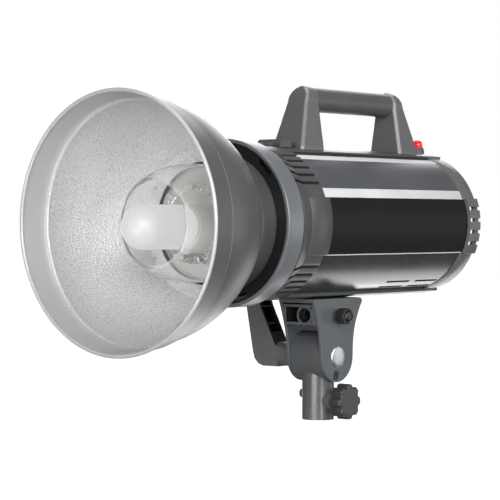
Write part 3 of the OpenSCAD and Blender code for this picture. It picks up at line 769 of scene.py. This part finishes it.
def section(half_width, front, rear, z, chamfer, foot=False):
    """A slice across the upright at height z, front corners chamfered. The foot sits on the rail's curve."""
    cut = min(chamfer, half_width * 0.5)
    outline = [(half_width - cut, front), (half_width, front + cut), (half_width, rear), (-half_width, rear),
               (-half_width, front + cut), (cut - half_width, front)]
    corners = fillet(outline, [0.4, 0.4, 0.8, 0.8, 0.4, 0.4], 3)
    ring = []
    for i, (a, b) in enumerate(corners):
        a1, b1 = corners[(i + 1) % len(corners)]
        pieces = 8 if i % 4 == 3 else 1
        ring += [(a + (a1 - a) * k / pieces, b + (b1 - b) * k / pieces) for k in range(pieces)]
    return [Vector((a * MM, RIM_Y + b * MM, AXIS_Z + (math.sqrt(RAIL_R ** 2 - a * a) if foot else z) * MM))
            for a, b in ring]


def between(table, z):
    """Value at z of a table of (height, value), straight between its rows."""
    for (z0, v0), (z1, v1) in zip(table, table[1:]):
        if z <= z1:
            return v0 + (v1 - v0) * (z - z0) / (z1 - z0)
    return table[-1][1]


def make_upright(node, front, rear):
    top = GRIP_Z + EYE_R
    heights = [FOOT_Z, 66.0, 67.0, 75.0, 85.0, 95.0, 102.0, 105.7]
    heights += [GRIP_Z + 11.45 * math.sin(math.radians(a))
                for a in (0, 10, 20, 30, 40, 50, 60, 68, 75, 81, 86)]
    rings = []
    for z in heights:
        if z <= NECK_Z:
            half = FOOT_HALF + (NECK_HALF - FOOT_HALF) * (z - FOOT_Z) / (NECK_Z - FOOT_Z)
        else:
            half = math.sqrt(max(0.6, EYE_R ** 2 - (z - GRIP_Z) ** 2))
        foot = z == heights[0]
        ease = 1.2 * max(0.0, (z - top + 3.0) / 3.0) ** 2
        rings.append(section(half, between(front, z) + ease, between(rear, z) - ease, z, CHAMFER, foot))
    per_corner = len(rings[0]) // 6
    # The front chamfer faces take the lighter grey: a painted highlight.
    painted_highlight_slots = [1 if j // per_corner in (0, 4) and j % per_corner > 2 else 0 for j in range(len(rings[0]))]
    return stands_for(loft(node + "_look", rings, [GREY_HANDLE, HANDLE_PAINTED_HIGHLIGHT], painted_highlight_slots, 40), node)


make_upright("handle_front", [(FOOT_Z, 216), (111, 231), (120, 236)], [(FOOT_Z, 246), (120, 246)])
make_upright("handle_rear", [(FOOT_Z, 360), (120, 360)], [(FOOT_Z, 387.9), (111, 371.5), (120, 366.5)])

grip_low, grip_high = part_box("handle_grip")
GRIP_R = (grip_high.x - grip_low.x) / 2 / MM


def grip_seam(angle, s):
    """A fine parting line along both sides of the grip."""
    off = min(apart(angle, side) for side in (24.0, 204.0))
    return 0.12 if off < 1.0 else 0.0


GRIP_FRONT = station(grip_low.y)
GRIP_REAR = station(grip_high.y)
GRIP_SKIN = GRIP_R - 0.12
grip_profile = [(0.0, GRIP_FRONT), (GRIP_R - 1.0, GRIP_FRONT), (GRIP_R - 0.2, GRIP_FRONT + 1.2),
                (GRIP_SKIN, GRIP_FRONT + 4)]
grip_profile += [(GRIP_SKIN - 0.1 * math.sin(math.pi * k / 12),
                  GRIP_FRONT + 4 + (GRIP_REAR - GRIP_FRONT - 8) * k / 12)
                 for k in range(1, 12)]
grip_profile += [(GRIP_SKIN, GRIP_REAR - 4), (GRIP_R - 0.2, GRIP_REAR - 1.2), (GRIP_R - 1.0, GRIP_REAR),
                 (0.0, GRIP_REAR)]
grip = lathe("handle_grip_look", grip_profile, RUBBER, 180, False, 0.0, GRIP_Z, wobble=grip_seam)
stands_for(grip, "handle_grip")
refined("handle_screws", STEEL, 0.3)
refined("latch_slider", GREY_PLASTIC, 0.6, 3)
refined("latch_pin", SCREW_STEEL, 0.25)

# ---------------------------------------------------------------- light source

front_profile = fillet([(10, 108), (44.8, 108), (44.8, 109), (46.4, 109), (46.4, 108), (48.9, 108),
                        (48.9, 151.4), (46.9, 151.4), (46.9, 111), (10, 111)], 0.25, 3)
front = lathe("front_plate_look", front_profile, CERAMIC, 160)
stands_for(front, "front_plate")

TUBE_RING = 30.0
TUBE_R = 3.2
TUBE_S = 92.0
LAMP_Z = -3.0
LEG_X = 7.5
LEG_Z = -math.sqrt(TUBE_RING ** 2 - LEG_X ** 2)


def tube_along(name, path, radius_mm, material, sides=20):
    """A closed tube of constant radius along a path of row positions."""
    rings = []
    up = Vector((0.0, 1.0, 0.0))
    for i, point in enumerate(path):
        ahead = path[min(i + 1, len(path) - 1)] - path[max(i - 1, 0)]
        ahead.normalize()
        across = ahead.cross(up)
        if across.length < 0.05:
            across = ahead.cross(Vector((0.0, 0.0, 1.0)))
        across.normalize()
        up = across.cross(ahead).normalized()
        ring = []
        for j in range(sides):
            a = 2 * math.pi * j / sides
            ring.append(point + (across * math.cos(a) + up * math.sin(a)) * radius_mm * MM)
        rings.append(ring)
    return loft(name, rings, material)


def leg(x, stations):
    """The flash tube's straight leg at x."""
    return [Vector((x * MM, RIM_Y + s * MM, AXIS_Z + LEG_Z * MM)) for s in stations]


def flash_path():
    gap = math.degrees(math.asin(LEG_X / TUBE_RING))
    path = leg(LEG_X, (111.0, 106.0, 101.0, 97.0, 94.6))
    path += [around(TUBE_RING, 92.8, -90 + gap + 2.0), around(TUBE_RING, 92.1, -90 + gap + 5.5)]
    path += [around(TUBE_RING, TUBE_S, a) for a in range(-90 + 24, 270 - 23, 4)]
    path += [around(TUBE_RING, 92.1, 270 - gap - 5.5), around(TUBE_RING, 92.8, 270 - gap - 2.0)]
    return path + leg(-LEG_X, (94.6, 97.0, 101.0, 106.0, 111.0))


flash = tube_along("flash_tube_look", flash_path(), TUBE_R, QUARTZ, 24)
stands_for(flash, "flash_tube")
COIL_R = TUBE_R + 0.35
COIL_TURNS = 33
POINTS_A_TURN = 12
trigger_path = []
for k in range(COIL_TURNS * POINTS_A_TURN):
    turn = math.radians(360.0 * k / POINTS_A_TURN)
    angle = -62.0 + 304.0 * k / (COIL_TURNS * POINTS_A_TURN)
    trigger_path.append(around(TUBE_RING + COIL_R * math.cos(turn), TUBE_S + COIL_R * math.sin(turn), angle))
added(tube_along("trigger_wire", trigger_path, 0.22, STEEL, 6), "tube_clips")
for x, name in ((LEG_X, "right"), (-LEG_X, "left")):
    sleeve = fillet([(0, 88.6), (1.5, 88.6), (1.8, 90), (1.8, 108), (0, 108)], [0, 0.5, 0.5, 0.3, 0], 3,
                    False)
    electrode = lathe(f"electrode_{name}", sleeve, STEEL, 24, False, x, LEG_Z)
    electrode.location.y = 4.0 * MM
    added(electrode, "tube_clips")
refined("tube_clips", STEEL, 0.2)
socket_profile = fillet([(13.4, 82.6), (18.2, 82.6), (19.0, 107.9), (8.0, 107.9), (8.0, 104.2),
                         (13.4, 104.2)], 0.5, 3)
stands_for(lathe("lamp_socket_look", socket_profile, CERAMIC, 128, True, 0.0, LAMP_Z), "lamp_socket")

LAMP_R = 18.0
LAMP_TIP_S = 34.5
lamp_profile = [(LAMP_R * math.sin(math.radians(a)), LAMP_TIP_S - LAMP_R * math.cos(math.radians(a)))
                for a in range(0, 91, 3)]
lamp_profile += [(LAMP_R, LAMP_TIP_S + k * 6.0) for k in range(1, 7)]
lamp_profile += fillet([(LAMP_R, 73.0), (LAMP_R, 80.0), (12.4, 82.4), (12.4, 87.5)], [0, 2.4, 0.6, 0], 5,
                       False) + [(0.0, 87.5)]
lamp = lathe("lamp_bulb_look", lamp_profile, OPAL, 128, False, 0.0, LAMP_Z)
stands_for(lamp, "lamp_bulb")
refined("lamp_cap", CERAMIC, 0.4, 2)


def make_glass():
    """Bell with a rolled mouth, its wall 2 mm thick."""
    outer = [(36.4, 47.0), (38.2, 49.6), (40.4, 53.6), (43.0, 60.0), (45.6, 68.0), (47.4, 77.0), (48.3, 86.0),
             (48.5, 95.0), (48.5, 107.9)]
    smooth = []
    for i in range(len(outer) - 1):
        p0, p1, p2, p3 = (Vector(outer[max(0, min(len(outer) - 1, i + d))]) for d in (-1, 0, 1, 2))
        for k in range(5):
            t = k / 5
            smooth.append(0.5 * (2 * p1 + (p2 - p0) * t + (2 * p0 - 5 * p1 + 4 * p2 - p3) * t * t
                                 + (3 * p1 - p0 - 3 * p2 + p3) * t ** 3))
    smooth.append(Vector(outer[-1]))
    wall = [tuple(p) for p in smooth[2:]]
    inner = [(a - 2.0, b) for a, b in reversed(wall)]
    roll = [(35.6 + 1.8 * math.cos(math.radians(a)), 47.0 + 1.8 * math.sin(math.radians(a)))
            for a in range(110, 401, 15)]
    return stands_for(lathe("glass_cover_look", wall + inner + roll, CLEAR_GLASS, 160, sharp=60),
                      "glass_cover")


make_glass()

# ---------------------------------------------------------------- inside the housing

INSIDE = (("chassis", ALUMINIUM), ("capacitors", SLEEVE), ("power_board", BOARD), ("control_board", BOARD),
          ("trigger_transformer", COPPER), ("fan_frame", BLACK_PLASTIC), ("fan_rotor", BLACK_PLASTIC))
for node, material in INSIDE:
    refined(node, material, 0.3)

# ---------------------------------------------------------------- stand bracket

CHEEK_R = 22.5
CHEEK_INNER = 16.7
CHEEK_OUTER = 19.5
WELL_FLOOR = 18.3
WELL_R = 4.1
SCREW = (-1.8, -16.7)
cheek_round = arc(CHEEK_R, -1.6, -175.5, 40)
cheek_points = [cheek_round[-1], (-24.2, 20.7), (-30.5, 41.2), (-34.5, 50.8), (34.5, 50.8),
                (36.9, 48.3), (32.9, 42.1), (26.2, 28.9), (22.9, 14.0), cheek_round[0]]
cheek_outline = fillet(cheek_points, [0, 8, 8, 2.0, 1.6, 2.4, 6, 7, 8, 0], 6, False) + cheek_round[1:-1]
for side, node in ((1, "cheek_right"), (-1, "cheek_left")):
    low, high = sorted((side * CHEEK_INNER, side * CHEEK_OUTER))
    plate = prism(node + "_look", cheek_outline, low, high, "yz", BRACKET_GREY)
    well = [(SCREW[0] + a, SCREW[1] + b) for a, b in arc(WELL_R, 0, 354, 59)]
    low, high = sorted((side * WELL_FLOOR, side * 21.0))
    cutter = prism("screw_well", well, low, high, "yz", BRACKET_GREY)
    stands_for(bevel(carve(plate, cutter), 0.45), node)
refined("bracket_base", BRACKET_GREY, 0.4)


def holder_pocket_shade_mask(x, s, z):
    """Inside the holder's core-outs or its shaft bore, clear of the boss's end faces: where the painted shade
    goes.
    """
    from_shaft = math.hypot(x - SHAFT_X, z - SHAFT_Z)
    cored = abs(x) < 14.1 and -85.9 < z < -72.6 and from_shaft > 8.7
    return 233.5 < s < 278.5 and (cored or from_shaft < 6.9)


def lever_pocket_shade_mask(x, s, z):
    """Inside the lever's hollow arm, where the painted shade goes."""
    return abs(s - 263) < 7.5 and -103.5 < z < -52 and x > -67.2 - 0.185 * (z + 114.5)


# The holder's hollows are painted near-black: painted shade.
paint_shade_in(refined("umbrella_holder", ADAPTER_GREY, 0.4, 3), PAINTED_SHADE, holder_pocket_shade_mask)
refined("bracket_screws", SCREW_STEEL, 0.25)


def spindle(name, centre, layers, material, sides=180, wave=None, sharp=50):
    """A closed solid about an axis along X through centre, from layers of (x, radius) in mm."""
    rings = []
    for x, r in layers:
        ring = []
        for j in range(sides):
            a = 360.0 * j / sides
            reach = (r + (wave(a) if wave else 0.0)) * MM
            ring.append(Vector((x * MM, centre.y + reach * math.cos(math.radians(a)),
                                centre.z + reach * math.sin(math.radians(a)))))
        rings.append(ring)
    return loft(name, rings, material, sharp=sharp)


bolt_layers = [(-60, 4.6), (-59.6, 5.0), (19.4, 5.0), (19.5, 9.5), (19.9, 9.6), (20.3, 9.5),
               (20.6, 9.1), (20.9, 8.2), (21.1, 6.8), (21.22, 4.5), (21.28, 2.0), (21.3, 0.3)]
stands_for(spindle("pivot_bolt_look", Vector(PIVOT), bolt_layers, CHROME), "pivot_bolt")


def knurl(angle):
    return 0.32 * max(-1.0, min(1.0, 1.7 * math.cos(math.radians(22 * angle))))


thumb_low, thumb_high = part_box("umbrella_screw")
thumb_x0, thumb_x1 = thumb_low.x / MM, thumb_high.x / MM
thumb_layers = [(thumb_x0, 5.4), (thumb_x0 + 0.5, 6.2), (thumb_x0 + 1.1, 6.6),
                (thumb_x1 - 2.6, 6.6), (thumb_x1 - 2.0, 6.3), (thumb_x1 - 1.7, 5.9)]
thumb = spindle("umbrella_screw_look", middle("umbrella_screw"), thumb_layers, KNURL_BLACK, 352, knurl)
stands_for(thumb, "umbrella_screw")
tip_layers = [(thumb_x1 - 1.9, 5.2), (thumb_x1 - 0.8, 5.2), (thumb_x1 - 0.3, 5.0),
              (thumb_x1, 4.5), (thumb_x1 - 0.15, 1.0)]
added(spindle("umbrella_screw_end", middle("umbrella_screw"), tip_layers, SCREW_STEEL, 96), "umbrella_screw")
refined("umbrella_pad", STEEL, 0.3)
# The lever's hollow arm is painted near-black: painted shade.
paint_shade_in(refined("tilt_lever", LEVER_GREY, 0.8, 4), PAINTED_SHADE, lever_pocket_shade_mask)
refined("stand_adapter", ADAPTER_GREY, 0.7, 4)
refined("clamp_pad", STEEL, 0.3)


LOBE_DEPTH = 1.15


def lobes(angle):
    """Eight square lobes with round valleys, the first pointing up."""
    wave = math.cos(math.radians(8 * (angle - 90)))
    return LOBE_DEPTH * math.tanh(2.2 * (wave + 0.25)) / math.tanh(2.75)


knob_low, knob_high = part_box("stand_knob")
KNOB_R = (knob_high.z - knob_low.z) / 2 / MM - LOBE_DEPTH
x0, x1 = knob_low.x / MM, knob_high.x / MM
knob_layers = [(x0, KNOB_R - 1.6), (x0 + 0.3, KNOB_R - 0.6), (x0 + 1.1, KNOB_R), (x1 - 1.6, KNOB_R),
               (x1 - 0.7, KNOB_R - 0.2), (x1 - 0.2, KNOB_R - 0.7), (x1, KNOB_R - 1.5), (x1, KNOB_R - 3.0)]
knob = spindle("stand_knob_look", middle("stand_knob"), knob_layers, KNOB_BLACK, 360, lobes)
stands_for(knob, "stand_knob")
face_layers = [(x1 - 1.0, 9.0), (x1 - 0.02, 9.0), (x1 - 0.02, 8.4), (x1 - 0.5, 7.9), (x1 - 0.5, 0.3)]
added(spindle("stand_knob_face", middle("stand_knob"), face_layers, BLACK_PLASTIC, 96), "stand_knob")

# ---------------------------------------------------------------- controls

for node in ("button_up", "button_down", "button_test", "button_lamp"):
    refined(node, BUTTON_GREY, 0.5, 3)
refined("control_dial", BLACK_PLASTIC, 0.25)
refined("power_rocker", BLACK_PLASTIC, 0.6, 3)
refined("fuse_drawer", BLACK_PLASTIC, 0.4)

# ---------------------------------------------------------------- studio

FLOOR_Z = -0.9


def softbox(name, at, aim, size, size_y, power):
    data = bpy.data.lights.new(name, "AREA")
    data.shape = "RECTANGLE"
    data.size = size
    data.size_y = size_y
    data.energy = power
    light = bpy.data.objects.new(name, data)
    light.location = at
    light.rotation_euler = (Vector(aim) - Vector(at)).to_track_quat("-Z", "Y").to_euler()
    bpy.context.scene.collection.objects.link(light)
    return light


AIM = (0.0, -0.05, 0.17)
softbox("key", (1.5, -1.97, 0.9), AIM, 1.3, 1.1, 45.0)
softbox("front", (-0.6, -2.3, 0.7), AIM, 1.0, 1.0, 5.0)
softbox("low_front", (0.3, -2.1, -0.6), AIM, 1.2, 0.6, 22.0)
softbox("side", (2.3, 0.1, 0.9), AIM, 1.1, 0.9, 26.0)
softbox("strip", (2.03, -1.1, 0.3), AIM, 0.35, 1.3, 17.0)
softbox("top", (0.0, 0.3, 1.9), AIM, 1.2, 1.0, 12.0)
softbox("back_top", (-0.85, 1.25, 0.75), AIM, 1.0, 1.0, 11.0)
softbox("back_left", (-1.7, 1.9, 0.25), AIM, 1.6, 1.2, 14.0)
softbox("back_right", (1.15, 1.35, 0.1), AIM, 0.5, 0.7, 2.0)
softbox("below", (-0.22, 1.0, -0.62), AIM, 0.58, 1.2, 6.0)
softbox("below_left", (-0.61, 1.04, -0.44), AIM, 0.35, 0.6, 1.6)

world = bpy.data.worlds.new("studio")
bpy.context.scene.world = world
world.use_nodes = True
tree = world.node_tree
background = tree.nodes["Background"]
path = tree.nodes.new("ShaderNodeLightPath")
shown = tree.nodes.new("ShaderNodeMix")
shown.data_type = "RGBA"
shown.inputs["A"].default_value = (0.15, 0.152, 0.155, 1.0)
shown.inputs["B"].default_value = (1.0, 1.0, 1.0, 1.0)
tree.links.new(path.outputs["Is Camera Ray"], shown.inputs["Factor"])
tree.links.new(shown.outputs["Result"], background.inputs["Color"])
background.inputs["Strength"].default_value = 1.0


def pale_floor():
    """A wide pale floor well below the head, which hangs from its stand socket."""
    size = 30.0
    points = [(-size, -size, FLOOR_Z), (size, -size, FLOOR_Z), (size, size, FLOOR_Z), (-size, size, FLOOR_Z)]
    g = Graph("pale_floor")
    drift = g.noise(0.8, 3.0)
    g.colour(drift, grey(250), grey(255))
    g.rough(drift, 0.7, 0.8)
    g.set(Emission_Color=grey(255), Emission_Strength=1.0)
    floor = make("floor", points, [(0, 1, 2, 3)], g.material)
    floor.visible_glossy = False
    floor.visible_diffuse = False


pale_floor()
